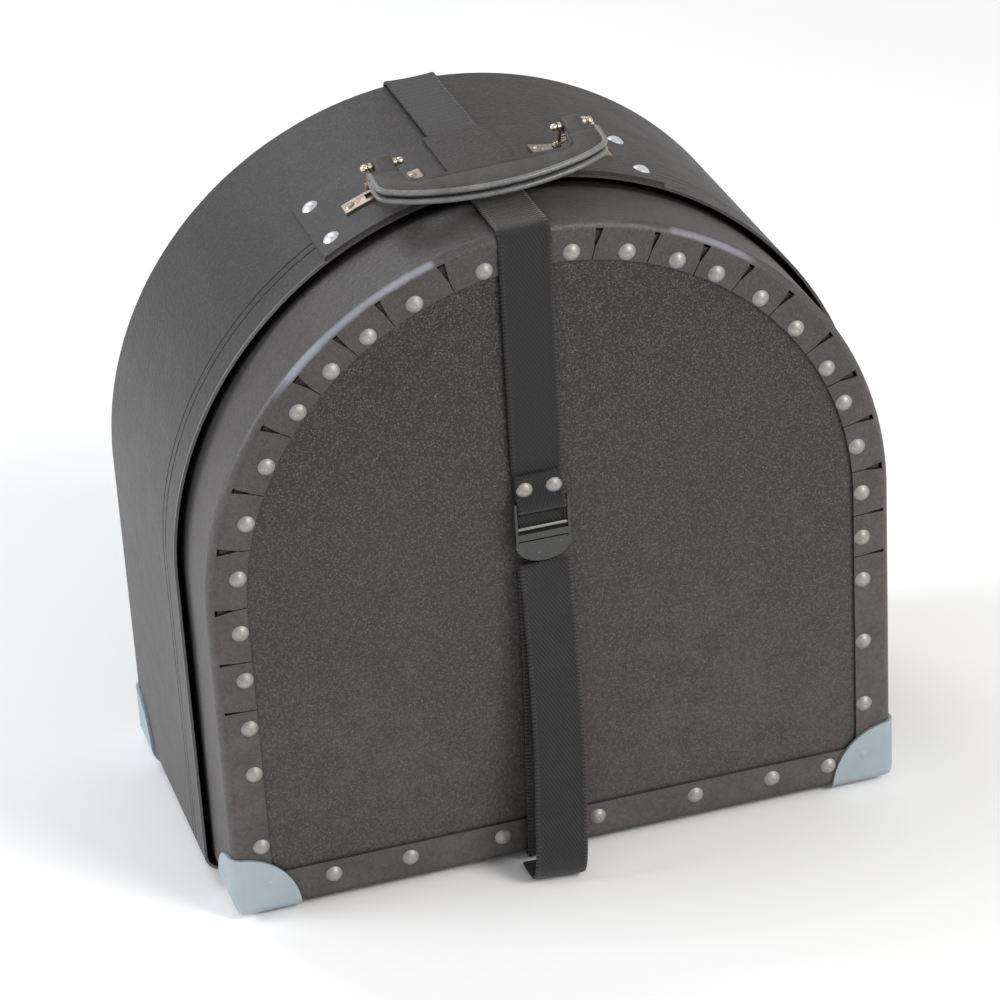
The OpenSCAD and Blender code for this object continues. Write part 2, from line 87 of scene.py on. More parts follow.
# ---------- materials ----------
class Mat:
    """Builds one procedural material on a Principled shader."""

    def __init__(self, name, **sockets):
        self.m = bpy.data.materials.new(name)
        self.m.use_nodes = True
        self.t = self.m.node_tree
        self.b = self.t.nodes["Principled BSDF"]
        for key, value in sockets.items():
            self.b.inputs[key.replace("_", " ")].default_value = value

    def put(self, value, socket):
        if isinstance(value, bpy.types.NodeSocket):
            self.t.links.new(value, socket)
        else:
            socket.default_value = value

    def node(self, kind, **settings):
        n = self.t.nodes.new(kind)
        for key, value in settings.items():
            setattr(n, key, value)
        return n

    def coords(self, what="Object"):
        return self.node("ShaderNodeTexCoord").outputs[what]

    def split(self, vector):
        n = self.node("ShaderNodeSeparateXYZ")
        self.put(vector, n.inputs[0])
        return n.outputs

    def math(self, op, a, b=0.0):
        n = self.node("ShaderNodeMath", operation=op)
        self.put(a, n.inputs[0])
        self.put(b, n.inputs[1])
        return n.outputs[0]

    def plus(self, a, b):
        return self.math("ADD", a, b)

    def minus(self, a, b):
        return self.math("SUBTRACT", a, b)

    def times(self, a, b):
        return self.math("MULTIPLY", a, b)

    def wave(self, along, period):
        """Sine of a length, in metres, with the given period."""
        return self.math("SINE", self.times(along, 2 * math.pi / period))

    def step(self, value, lo, hi, out_lo=0.0, out_hi=1.0):
        """Smooth rise from out_lo to out_hi as value goes from lo to hi."""
        n = self.node("ShaderNodeMapRange", interpolation_type="SMOOTHSTEP")
        for v, socket in zip((value, lo, hi, out_lo, out_hi), n.inputs):
            self.put(v, socket)
        return n.outputs[0]

    def noise(self, vector, scale, detail=2.0, rough=0.5):
        n = self.node("ShaderNodeTexNoise")
        self.put(vector, n.inputs["Vector"])
        n.inputs["Scale"].default_value = scale
        n.inputs["Detail"].default_value = detail
        n.inputs["Roughness"].default_value = rough
        return n.outputs["Fac"]

    def cells(self, vector, scale, feature="F1", smooth=0.3):
        n = self.node("ShaderNodeTexVoronoi", feature=feature)
        self.put(vector, n.inputs["Vector"])
        n.inputs["Scale"].default_value = scale
        if feature == "SMOOTH_F1":
            n.inputs["Smoothness"].default_value = smooth
        return n.outputs["Distance"]

    def nearness(self, reach):
        """Ambient occlusion within reach: 1 in the open, falling towards 0 in a corner."""
        n = self.node("ShaderNodeAmbientOcclusion", samples=6, only_local=False)
        n.inputs["Distance"].default_value = reach
        return n.outputs["AO"]

    def mix(self, fac, a, b):
        n = self.node("ShaderNodeMix", data_type="RGBA")
        self.put(fac, n.inputs[0])
        self.put(a, n.inputs[6])
        self.put(b, n.inputs[7])
        return n.outputs[2]

    def bump(self, height, distance, strength=1.0, normal=None):
        n = self.node("ShaderNodeBump")
        n.inputs["Strength"].default_value = strength
        n.inputs["Distance"].default_value = distance
        self.put(height, n.inputs["Height"])
        if normal is not None:
            self.put(normal, n.inputs["Normal"])
        return n.outputs[0]

    def set(self, **links):
        for key, value in links.items():
            self.put(value, self.b.inputs[key.replace("_", " ")])
        return self.m


def rgb(r, g, b):
    return (r, g, b, 1.0)


def shade_of(tone, factor):
    """A tone made lighter or darker by a factor."""
    return rgb(*(c * factor for c in tone))


WORN_AND_HIGHLIGHT = rgb(0.33, 0.34, 0.39)        # wear on the rubbed bends, with a painted highlight
RIM_SHADOW_COLOUR = rgb(0.010, 0.009, 0.009)  # painted shadow on the front band beside the rear half's rim
CUT_EDGE_AND_HIGHLIGHT = rgb(0.24, 0.23, 0.24)    # raw rim of the rear band: pale cut edge with a painted highlight
# painted shade in corners and beside raised parts
CORNER_SHADE = rgb(0.008, 0.007, 0.007)
# pale specks painted as glints on the pebbled grain
GLINT_SPECK = rgb(0.15, 0.142, 0.135)
GLOSS = 0.42                        # specular level of fibre with no painted shade towards the top; lowered as that shade grows


def worn_edge_and_highlight(m, xyz, turned, patchy, half, face_y, sign):
    """Share of wear and painted highlight on the bend between face and band: two stretches of the arch, a
    trace elsewhere.
    """
    up = m.math("MAXIMUM", m.minus(xyz[2], ARCH_Z), 0.0)
    radius = m.math("SQRT", m.plus(m.times(xyz[0], xyz[0]), m.times(up, up)))
    inwards = m.minus(half, radius)
    back = m.times(m.minus(xyz[1], face_y), sign)
    ridge = m.plus(m.math("MAXIMUM", inwards, 0.0), m.math("MAXIMUM", back, 0.0))
    edge = m.step(m.plus(ridge, m.times(patchy, 1.2 * MM)), 2.9 * MM, 4.7 * MM, 1.0, 0.0)
    # the two stretches of the arch where the painted highlight falls
    left = m.times(m.step(turned, -0.90, -0.78), m.step(turned, -0.315, -0.295, 1.0, 0.0))
    right = m.times(m.step(turned, 0.375, 0.395, 0.0, 0.8), m.step(turned, 0.60, 0.70, 1.0, 0.0))
    return m.times(edge, m.plus(m.plus(left, right), 0.05))


def painted_rim_shadow(m, xyz, turned, colour):
    """Painted shadow on the front band just in front of the rear half's rim, wider on the left than over
    the top.
    """
    depth = m.times(m.step(turned, -1.15, -0.6, 16 * MM, 5 * MM), m.step(xyz[2], 0.03, 0.16, 0.4, 1.0))
    short = m.minus(EDGE_Y, xyz[1])
    return m.mix(m.step(short, m.times(depth, 0.45), depth, 0.86, 0.0), colour, RIM_SHADOW_COLOUR)


def pale_rim_and_highlight(m, xyz, turned, colour):
    """Pale cut edge round the mouth of the rear half, with a painted highlight stronger on the left."""
    rim = m.step(m.minus(xyz[1], EDGE_Y), 0.3 * MM, 1.8 * MM, 1.0, 0.0)
    return m.mix(m.times(rim, m.step(turned, -0.9, -0.3, 0.6, 0.12)), colour, CUT_EDGE_AND_HIGHLIGHT)


def fibre(name, tone, half, face_y, sign, edge_wear_and_highlight=1.0, grain=1.0, glint_specks=0.0,
          corner_reach=4 * MM, corner_shade=0.72, top_shade=0.42, extra=None):
    """Vulcanised fibre: fine pebbled grain, blotchy brown-black, worn along the bent edge with a painted
    highlight there.
    half and face_y place the bend and sign points from the face into the band. Amounts set the edge wear
    with its painted highlight, the grain, the pale specks painted as glints on the grain and the painted
    shade in corners; another sets how far the tone falls towards the top of the arch as painted shade,
    and extra colours what only one band has."""
    m = Mat(name, Specular_IOR_Level=GLOSS - 0.11 * top_shade)
    p = m.coords()
    xyz = m.split(p)
    turned = m.math("ARCTAN2", xyz[0], m.minus(xyz[2], ARCH_Z))
    patchy = m.noise(p, 38.0, 3.0, 0.6)
    worn_and_highlit = m.times(worn_edge_and_highlight(m, xyz, turned, patchy, half, face_y, sign), edge_wear_and_highlight)

    pebble = m.cells(p, 430.0, "SMOOTH_F1", 0.6)
    fine = m.noise(p, 1500.0, 3.0, 0.65)
    blotch = m.noise(p, 9.0, 4.0, 0.55)
    cloud = m.noise(p, 70.0, 3.0, 0.6)
    shade = m.plus(m.times(blotch, 0.55), m.times(cloud, 0.45))
    colour = m.mix(m.step(shade, 0.3, 0.7), shade_of(tone, 0.74), shade_of(tone, 1.26))
    # painted shade: the tone darkens towards the top of the arch
    low, high = ARCH_Z - 0.12, ARCH_Z + 0.17
    colour = m.mix(m.step(xyz[2], low, high, 0.0, top_shade), colour, shade_of(tone, 0.36))
    colour = m.mix(m.step(pebble, 0.25, 0.85, 0.0, 0.35), colour, shade_of(tone, 0.45))
    speckle = m.step(m.noise(p, 1000.0, 2.0, 0.7), 0.46, 0.68, 0.0, 0.30 + 0.45 * glint_specks)
    colour = m.mix(speckle, colour, shade_of(tone, 2.0))
    # pale specks painted as glints on the panels' grain
    if glint_specks:
        dots = m.step(m.cells(p, 760.0), 0.12, 0.34, 1.0, 0.0)
        chosen = m.times(m.step(m.noise(p, 420.0, 2.0), 0.44, 0.62), glint_specks)
        colour = m.mix(m.times(dots, chosen), colour, GLINT_SPECK)
    # lighter bend: wear, with a painted highlight
    colour = m.mix(m.times(worn_and_highlit, 0.9), colour, WORN_AND_HIGHLIGHT)
    if extra:
        colour = extra(m, xyz, turned, colour)
    # painted shade in corners and beside raised parts, from the occlusion mask
    colour = m.mix(m.step(m.nearness(corner_reach), 0.3, 0.85, corner_shade, 0.0), colour, CORNER_SHADE)

    rough = m.plus(m.times(cloud, 0.22), m.times(fine, 0.14))
    rough = m.minus(m.plus(rough, 0.30 + 0.05 * glint_specks), m.times(worn_and_highlit, 0.10))
    height = m.plus(m.times(pebble, -1.0), m.times(fine, 0.35))
    normal = m.bump(height, 0.22 * MM * grain, 0.85)
    normal = m.bump(m.noise(p, 22.0, 2.0), 1.1 * MM, 0.35, normal)
    return m.set(Base_Color=colour, Roughness=rough, Normal=normal)


def metal(name, tone, rough, metallic, spots=0.5, tarnish=(0.2, 0.18, 0.15), scale=900.0):
    """Plated or tinned metal with faint pitting, tarnish in the hollows and uneven polish."""
    m = Mat(name, Metallic=metallic, Specular_IOR_Level=0.5)
    p = m.coords()
    cloud = m.noise(p, scale * 0.25, 4.0, 0.6)
    pits = m.noise(p, scale * 2.2, 2.0, 0.6)
    colour = m.mix(m.step(cloud, 0.35, 0.75, 0.0, spots), rgb(*tone), rgb(*tarnish))
    hollow = m.step(m.nearness(2.2 * MM), 0.25, 0.85, 0.6, 0.0)
    colour = m.mix(hollow, colour, shade_of(tarnish, 0.22))
    roughness = m.plus(m.times(cloud, 0.22), rough - 0.1)
    normal = m.bump(m.plus(pits, m.times(cloud, 0.6)), 0.06 * MM, 0.6)
    return m.set(Base_Color=colour, Roughness=roughness, Normal=normal)


def webbing_material():
    """Black twill webbing: diagonal ribs, bound edges, dusty high threads; lighter and browner on the
    bands as painted light, darker up the face and behind the rear rim as painted shade.
    U runs across and V along, in metres."""
    m = Mat("webbing", Specular_IOR_Level=0.3, Sheen_Weight=0.14, Sheen_Roughness=0.5)
    uv = m.split(m.coords("UV"))
    rib = m.wave(m.plus(uv[0], m.times(uv[1], 0.62)), 1.9 * MM)
    threads = m.times(m.wave(uv[1], 1.15 * MM), m.wave(uv[0], 0.95 * MM))
    weave = m.plus(m.times(rib, 0.6), m.times(threads, 0.5))
    off = m.math("ABSOLUTE", uv[0])
    selvedge = m.step(off, STRAP_W / 2 - 2.4 * MM, STRAP_W / 2 - 1.9 * MM)
    stitch = m.plus(m.wave(uv[1], 2.1 * MM), 0.6)
    height = m.plus(m.times(weave, m.minus(1.0, selvedge)), m.times(stitch, selvedge))
    p = m.coords()
    xyz = m.split(p)
    dust = m.noise(p, 55.0, 4.0, 0.65)
    fibres = m.noise(p, 2600.0, 2.0, 0.6)
    lift = m.times(m.step(height, -0.2, 1.0), m.step(dust, 0.3, 0.75, 0.25, 1.0))
    colour = m.mix(lift, rgb(0.009, 0.008, 0.009), rgb(0.040, 0.038, 0.038))
    # painted shade: the webbing darkens higher up the face, towards the buckle
    shade_up_face = m.step(xyz[2], BUCKLE.z - 60 * MM, BUCKLE.z + 10 * MM, 0.0, 0.6)
    colour = m.mix(shade_up_face, colour, rgb(0.008, 0.007, 0.0075))
    # painted light: lighter, browner webbing back from the face, seen on the bands
    lit_off_face = m.step(xyz[1], FRONT_Y - 1 * MM, FRONT_Y + 6 * MM)
    lit_colour = m.mix(lift, rgb(0.021, 0.0190, 0.0175), rgb(0.062, 0.056, 0.052))
    colour = m.mix(lit_off_face, colour, lit_colour)
    # painted shade: darker again behind the rear half's rim
    shade_behind_rim = m.step(xyz[1], EDGE_Y, EDGE_Y + 20 * MM, 0.0, 0.8)
    colour = m.mix(shade_behind_rim, colour, rgb(0.010, 0.0095, 0.0095))
    colour = m.mix(m.step(fibres, 0.62, 0.74, 0.0, 0.4), colour, rgb(0.11, 0.11, 0.11))
    rough = m.plus(m.times(dust, 0.2), 0.5)
    normal = m.bump(m.plus(height, m.times(fibres, 0.8)), 0.22 * MM, 0.9)
    return m.set(Base_Color=colour, Roughness=rough, Normal=normal)


def leather_material(name, tone, rough):
    """Coated leather: fine creased grain, rubbed lighter where it is handled."""
    m = Mat(name, Specular_IOR_Level=0.4, Coat_Weight=0.08, Coat_Roughness=0.35)
    p = m.coords()
    grain = m.cells(p, 900.0, "SMOOTH_F1", 0.5)
    fine = m.noise(p, 2400.0, 3.0, 0.6)
    rub = m.noise(p, 45.0, 3.0, 0.6)
    crease = m.cells(p, 160.0, "DISTANCE_TO_EDGE")
    colour = m.mix(m.step(rub, 0.35, 0.7), shade_of(tone, 0.8), shade_of(tone, 1.3))
    colour = m.mix(m.step(grain, 0.3, 0.8, 0.0, 0.3), colour, shade_of(tone, 0.4))
    roughness = m.plus(m.times(rub, 0.16), rough)
    height = m.minus(m.times(fine, 0.3), grain)
    normal = m.bump(height, 0.09 * MM, 0.8)
    normal = m.bump(m.step(crease, 0.0, 0.06), 0.05 * MM, 0.5, normal)
    return m.set(Base_Color=colour, Roughness=roughness, Normal=normal)


def paint_material():
    """Black stoved paint on stamped steel, rubbed through to grey on the high spots."""
    m = Mat("buckle_paint", Specular_IOR_Level=0.5, Coat_Weight=0.15, Coat_Roughness=0.3)
    p = m.coords()
    chips = m.noise(p, 420.0, 4.0, 0.7)
    haze = m.noise(p, 1600.0, 3.0, 0.6)
    colour = m.mix(m.step(haze, 0.3, 0.7), rgb(0.020, 0.020, 0.020), rgb(0.042, 0.043, 0.042))
    bare = m.step(chips, 0.64, 0.72, 0.0, 0.7)
    colour = m.mix(bare, colour, rgb(0.30, 0.29, 0.28))
    rough = m.plus(m.times(haze, 0.2), 0.28)
    normal = m.bump(m.minus(m.times(haze, 0.4), bare), 0.05 * MM, 0.6)
    return m.set(Base_Color=colour, Roughness=rough, Normal=normal)


WALL_TONE = (0.068, 0.063, 0.061)
PANEL_TONE = (0.050, 0.0465, 0.0445)
PATCH_TONE = (0.070, 0.065, 0.063)
PANEL_LOOK = {"edge_wear_and_highlight": 0.0, "grain": 1.3, "glint_specks": 0.8, "corner_shade": 0.9, "top_shade": 1.0}
MATERIALS = {
    # front band: painted shadow beside the rear half's rim and wide painted shade in corners
    "front_wall": fibre("fibre_front_band", WALL_TONE, HALF_F, FRONT_Y, 1, corner_reach=12 * MM,
                        corner_shade=0.85, extra=painted_rim_shadow),
    # rear band: its pale cut rim carries a painted highlight
    "rear_wall": fibre("fibre_rear_band", WALL_TONE, HALF_R, REAR_Y, -1, edge_wear_and_highlight=0.8, top_shade=0.9,
                       extra=pale_rim_and_highlight),
    "front_panel": fibre("fibre_front_panel", PANEL_TONE, HALF_F, FRONT_Y, 1, **PANEL_LOOK),
    "rear_panel": fibre("fibre_rear_panel", PANEL_TONE, HALF_R, REAR_Y, -1, **PANEL_LOOK),
    "handle_patch": fibre("fibre_patch", PATCH_TONE, HALF_R, EDGE_Y, 1, edge_wear_and_highlight=0.0, grain=0.8,
                          top_shade=0.85),
}
RIVET = metal("tinned_rivet", (0.355, 0.345, 0.335), 0.50, 0.6)
BRIGHT_RIVET = metal("bright_rivet", (0.74, 0.76, 0.80), 0.34, 0.7, 0.3)
CAP = metal("zinc_cap", (0.37, 0.43, 0.46), 0.50, 0.45, 0.3, (0.30, 0.35, 0.38), 260.0)
NICKEL = metal("worn_nickel", (0.78, 0.72, 0.64), 0.26, 1.0, 0.6, (0.36, 0.30, 0.23))
WEBBING = webbing_material()
LEATHER = leather_material("grip_leather", (0.056, 0.052, 0.050), 0.46)
# lighter piping: wear with a painted highlight
WORN_HIGHLIT_PIPING = leather_material("grip_piping_worn_and_highlit", (0.17, 0.17, 0.172), 0.24)
# near-black groove: painted shade of the sunk seam
GROOVE_SHADE = leather_material("grip_groove_shade", (0.010, 0.010, 0.010), 0.7)
PAINT = paint_material()
BAR = metal("worn_bar", (0.27, 0.27, 0.26), 0.38, 0.9, 0.4)
PLATE = metal("tarnished_plate", (0.44, 0.38, 0.31), 0.36, 0.9, 0.8, (0.15, 0.12, 0.095))
for name in ("rear_rivets", "front_rivets", "strap_end_rivets"):
    MATERIALS[name] = RIVET
MATERIALS["patch_rivets"] = BRIGHT_RIVET
for name in ("rear_cap_left", "rear_cap_right", "front_cap_left", "front_cap_right",
             "rear_cap_rivets", "front_cap_rivets"):
    MATERIALS[name] = CAP
for name in ("base_pin_left", "base_pin_right", "link_left", "link_right", "top_pin_left",
             "top_pin_right"):
    MATERIALS[name] = NICKEL
for name in ("handle_base_left", "handle_base_right", "handle_base_rivets"):
    MATERIALS[name] = PLATE


def smooth_by_angle(obj, degrees=35.0):
    """Shades smoothly except where two faces meet at a sharp angle."""
    mesh = obj.data
    bm = bmesh.new()
    bm.from_mesh(mesh)
    limit = math.radians(degrees)
    for e in bm.edges:
        e.smooth = len(e.link_faces) == 2 and e.calc_face_angle(0.0) < limit
    for f in bm.faces:
        f.smooth = True
    bm.to_mesh(mesh)
    bm.free()


for name, material in MATERIALS.items():
    mesh = nodes[name].data
    mesh.materials.clear()
    mesh.materials.append(material)


# ---------- meshes made here ----------
def new_object(name, bm, materials):
    bmesh.ops.recalc_face_normals(bm, faces=bm.faces)
    mesh = bpy.data.meshes.new(name)
    bm.to_mesh(mesh)
    bm.free()
    obj = bpy.data.objects.new(name, mesh)
    bpy.context.scene.collection.objects.link(obj)
    for m in materials:
        mesh.materials.append(m)
    for poly in mesh.polygons:
        poly.use_smooth = True
    return obj


def smooth_path(points, step):
    """Points along a centripetal spline through the given ones, about step apart."""
    pts = [Vector(p) for p in points]
    out = []
    for i in range(len(pts) - 1):
        p1, p2 = pts[i], pts[i + 1]
        p0 = pts[i - 1] if i else p1 * 2 - p2
        p3 = pts[i + 2] if i + 2 < len(pts) else p2 * 2 - p1
        count = max(1, round((p2 - p1).length / step))
        d1, d2 = (max((b - a).length, 1e-9) ** 0.5 for a, b in ((p0, p1), (p1, p2)))
        d3 = max((p3 - p2).length, 1e-9) ** 0.5
        m1 = (p1 - p0) / d1 - (p2 - p0) / (d1 + d2) + (p2 - p1) / d2
        m2 = (p2 - p1) / d2 - (p3 - p1) / (d2 + d3) + (p3 - p2) / d3
        m1, m2 = m1 * d2, m2 * d2
        for k in range(count):
            t = k / count
            out.append((2 * t ** 3 - 3 * t ** 2 + 1) * p1 + (t ** 3 - 2 * t ** 2 + t) * m1
                       + (3 * t ** 2 - 2 * t ** 3) * p2 + (t ** 3 - t ** 2) * m2)
    out.append(pts[-1])
    return out


def strap_section(width):
    """Outline of flat webbing: slightly thicker bound edges with rounded sides."""
    half = width / 2
    us = [-half + inset * MM for inset in (0.25, 1.2, 2.2, 3.0)]
    us += [-half / 2, -half / 4, 0.0]
    us = us + [-u for u in reversed(us[:-1])]
    top = []
    for u in us:
        bound = 0.12 * MM if abs(u) > half - 2.6 * MM else 0.0
        rounded_off = 0.28 * MM if abs(u) > half - 0.6 * MM else 0.0
        top.append((u, HALF_T + bound - rounded_off))
    return top + [(half, 0.0)] + [(u, -h) for u, h in reversed(top)] + [(-half, 0.0)]


def ribbon(name, stations, width=STRAP_W):
    """Webbing through stations of (centre, direction across, curve radius or None, share of width)."""
    bm = bmesh.new()
    uv = bm.loops.layers.uv.new("UVMap")
    section = strap_section(width)
    rows, vs, v = [], [], 0.0
    for i, (centre, across, radius, *share) in enumerate(stations):
        narrow = share[0] if share else 1.0
        ahead = stations[min(i + 1, len(stations) - 1)][0] - stations[max(i - 1, 0)][0]
        normal = ahead.cross(across).normalized()
        across = normal.cross(ahead).normalized()
        row = []
        for u, h in section:
            if radius:
                reach = radius + h
                side, lift = reach * math.sin(u / radius), reach * math.cos(u / radius) - radius
            else:
                side, lift = u * narrow, h
            row.append(bm.verts.new(centre + across * side + normal * lift))
        if i:
            v += (centre - stations[i - 1][0]).length
        rows.append(row)
        vs.append(v)
    n = len(section)
    for i in range(len(rows) - 1):
        for k in range(n):
            q = (k + 1) % n
            face = bm.faces.new((rows[i][k], rows[i][q], rows[i + 1][q], rows[i + 1][k]))
            for loop, (col, row) in zip(face.loops, ((k, i), (q, i), (q, i + 1), (k, i + 1))):
                loop[uv].uv = (section[col][0], vs[row])
    for row, v_end in ((rows[0], vs[0]), (rows[-1], vs[-1])):
        face = bm.faces.new(row)
        for loop, (u, h) in zip(face.loops, section):
            loop[uv].uv = (u, v_end + h)
    obj = new_object(name, bm, [WEBBING])
    return obj


# ---------- strap round the case ----------
FLAT = Vector((1, 0, 0))
LIFT = 0.12 * MM          # webbing clear of the fibre under it
REST = HALF_T + LIFT      # middle of webbing that lies on the fibre
SQUEEZE = 0.1 * MM        # pressed closer where the case stands on it
FOLD_SHARE = 25.3 / 27    # width inside the buckle's rails
ROD_R = 2.0               # the buckle's pivot bar, mm
TURN = BEND_R + REST      # middle of the webbing round a bend
COARSE, CLOSE = 5 * MM, 1 * MM  # steps along it


def ease(t):
    """Smooth climb from 0 to 1, held outside that range."""
    t = min(max(t, 0), 1)
    return t * t * (3 - 2 * t)


def pace(y):
    """Step along the strap: short where it climbs from the front band to the rear band."""
    return CLOSE if abs(y - EDGE_Y) < 12 * MM else COARSE


def front_run():
    """Free end of the fold, round the buckle's bar and up the face."""
    over = HALF_T * 3 + 2 * LIFT
    points = []
    for z in (17.0, 15, 12.5, 10, 7.5, 5.5):
        ahead = max(0, 8 - z) ** 1.6 * 0.18 * MM
        points.append(Vector((STRAP_X, FRONT_Y - over - ahead, BUCKLE.z + z * MM)))
    fold = ROD_R * MM + HALF_T + 0.1 * MM
    for k in range(9):
        a = math.radians(25 - k * 27)
        points.append(Vector((STRAP_X, BUCKLE.y - fold * math.cos(a), BUCKLE.z + fold * math.sin(a))))
    folded = len(points) - 1
    points.append(Vector((STRAP_X, FRONT_Y - REST - 0.3 * MM, BUCKLE.z + 5 * MM)))
    z = BUCKLE.z + 10 * MM
    while z < ARCH_Z + HALF_F - BEND_R - 2 * MM:
        points.append(Vector((STRAP_X, FRONT_Y - REST, z)))
        z += 6 * MM
    return [(p, FLAT, None, min(max(FOLD_SHARE, (i - folded) * 0.3), 1)) for i, p in enumerate(points)]


def top_run():
    """Round the front bend, over both bands under the patch and round the rear bend."""
    stations = []
    for k in range(7):
        a = math.radians(15 * k)
        r = HALF_F - BEND_R + TURN * math.sin(a)
        y = FRONT_Y + BEND_R - TURN * math.cos(a)
        stations.append((crown_point(0, y, r), FLAT.lerp(AXIS, k / 6), HALF_F if k > 3 else None))
    y = FRONT_Y + BEND_R + 4 * MM
    while y < REAR_Y - BEND_R:
        r = HALF_F + REST + (HALF_R - HALF_F) * ease((y - (EDGE_Y - 9 * MM)) / (9.5 * MM))
        stations.append((crown_point(0, y, r), AXIS, r))
        y += pace(y)
    for k in range(7):
        a = math.radians(90 - 15 * k)
        r = HALF_R - BEND_R + TURN * math.sin(a)
        y = REAR_Y - BEND_R + TURN * math.cos(a)
        stations.append((crown_point(0, y, r), AXIS.lerp(FLAT, k / 6), HALF_R if k < 3 else None))
    return stations


def back_run():
    """Down the back, round its lower bend and forward under both halves."""
    points = []
    z = ARCH_Z + HALF_R - BEND_R - 5 * MM
    low = Z0_R + BEND_R
    while z > low:
        points.append(Vector((STRAP_X, REAR_Y + REST, z)))
        z -= 6 * MM
    for k in range(7):
        a = math.radians(15 * k)
        r = TURN - SQUEEZE * k / 6
        points.append(Vector((STRAP_X, REAR_Y - BEND_R + r * math.cos(a), low - r * math.sin(a))))
    y = REAR_Y - BEND_R - 5 * MM
    under = Z0_R - REST + SQUEEZE
    while y > FRONT_Y + BEND_R:
        climb = (Z0_F - SQUEEZE - Z0_R) * ease((EDGE_Y - y) / (9 * MM))
        points.append(Vector((STRAP_X, y, under + climb)))
        y -= pace(y)
    for k in range(4):
        a = math.radians(15 * k)
        points.append(Vector((STRAP_X, FRONT_Y + BEND_R - TURN * math.sin(a),
                              Z0_F + BEND_R - TURN * math.cos(a))))
    return [(p, FLAT, None) for p in points]


def side_path(points):
    """Stations of a hanging strap from (ahead of the face, height, shift to the left, turn) points."""
    step = 2.0
    path = smooth_path([Vector(p[:3]) * MM for p in points], step * MM)
    turns = smooth_path([Vector((p[0], p[1], p[3])) for p in points], step)
    stations = []
    for place, turn in zip(path, turns):
        a = math.radians(turn.z)
        centre = Vector((STRAP_X - place.z, FRONT_Y - place.x, place.y))
        stations.append((centre, Vector((math.cos(a), -math.sin(a), 0)), None))
    return stations


strap_loop = ribbon("strap_loop", front_run() + top_run() + back_run())
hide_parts("strap_front_upper", "strap_front_top", "strap_rear_top", "strap_rear_back",
            "strap_rear_bottom", "strap_front_under")
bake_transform(strap_loop)

# the hanging pieces follow the case low down and the buckle high up
UNDER_Z = (Z0_F - HALF_T) / MM
strap_lower = ribbon("strap_lower", side_path([
    (-3, UNDER_Z - 0.1, 3, 0), (0, UNDER_Z - 0.15, 3, 0), (1.6, UNDER_Z + 0.6, 3, 0), (2.2, 7, 3, 0),
    (2.2, 60, 1.5, 0), (2.2, 124, 0, 0), (2.6, 152, 0, 0), (3.0, 178, 0, 0)]))
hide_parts("strap_front_lower")
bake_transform(strap_lower)

tail = ribbon("strap_tail_end", side_path([
    (4.4, 1.3, 7, 4), (14, 1.3, 7, 5), (22.5, 2.6, 7, 6), (27.6, 7.5, 7, 7), (29.6, 18, 6.5, 8),
    (27, 36, 5, 7), (20, 65, 2, 4), (13, 106, 0, 1), (8.2, 142, -0.5, 0), (6.0, 178, 0, 0)]))
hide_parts("strap_tail")
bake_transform(tail)


# ---------- buckle ----------
# millimetres from the pivot's height and the case's face; forward is -Y
BUCKLE_HALF = (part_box("buckle")[1].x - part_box("buckle")[0].x) / 2 / MM
RAIL = 1.4                # width of a side rail
FRAME_Y = (-6.3, -2.3)    # front and back of the rails
BAR_Z = (-12.5, -10.9)    # toothed middle bar
LOWER_Z = (-18.2, -14.5)  # lower bar
TAB_Z = -19.2             # top of the thumb tab
TAB_T = 1.25              # thickness of the thumb tab


def add_box(bm, lo, hi):
    for v in bmesh.ops.create_cube(bm, size=1.0)["verts"]:
        v.co = Vector((lo[i] if v.co[i] < 0 else hi[i]) * MM for i in range(3))


def add_rod(bm, half, y, z, r):
    """Round rod along X with its two ends eased."""
    sides, stops = 20, 8
    rows = []
    for k in range(stops + 1):
        x = -half + 2 * half * k / stops
        rr = r * (0.82 if k in (0, stops) else 1)
        turns = [2 * math.pi * s / sides for s in range(sides)]
        rows.append([bm.verts.new(Vector((x, y + rr * math.cos(a), z + rr * math.sin(a))) * MM)
                     for a in turns])
    for a, b in zip(rows, rows[1:]):
        for s in range(sides):
            bm.faces.new((a[s], a[(s + 1) % sides], b[(s + 1) % sides], b[s]))
    bm.faces.new(rows[0])
    bm.faces.new(list(reversed(rows[-1])))


def grid_rim(g):
    """The border of a grid of vertices, all the way round."""
    ends, starts = [row[-1] for row in g[1:]], [row[0] for row in g[1:-1]]
    return g[0] + ends + list(reversed(g[-1][:-1])) + list(reversed(starts))


def add_thumb_tab(bm):
    """Half moon, dished forward towards its edge, below the lower bar."""
    rows, cols = 9, 29
    sheets = []
    for y_back in (0.0, TAB_T):
        sheet = []
        for i in range(rows):
            t = i / (rows - 1)
            row = []
            for k in range(cols):
                a = math.pi * (k / (cols - 1))
                depth = math.sin(a) ** 0.8
                y = -5.4 - 0.9 * math.sin(t * math.pi / 2) * depth + y_back
                z = TAB_Z - t * (0.4 + 11.0 * depth)
                row.append(bm.verts.new(Vector((math.cos(a) * BUCKLE_HALF, y, z)) * MM))
            sheet.append(row)
        sheets.append(sheet)
    for g in sheets:
        for i in range(rows - 1):
            for k in range(cols - 1):
                bm.faces.new((g[i][k], g[i][k + 1], g[i + 1][k + 1], g[i + 1][k]))
    front, back = (grid_rim(g) for g in sheets)
    for k in range(len(front)):
        q = (k + 1) % len(front)
        bm.faces.new((front[k], front[q], back[q], back[k]))


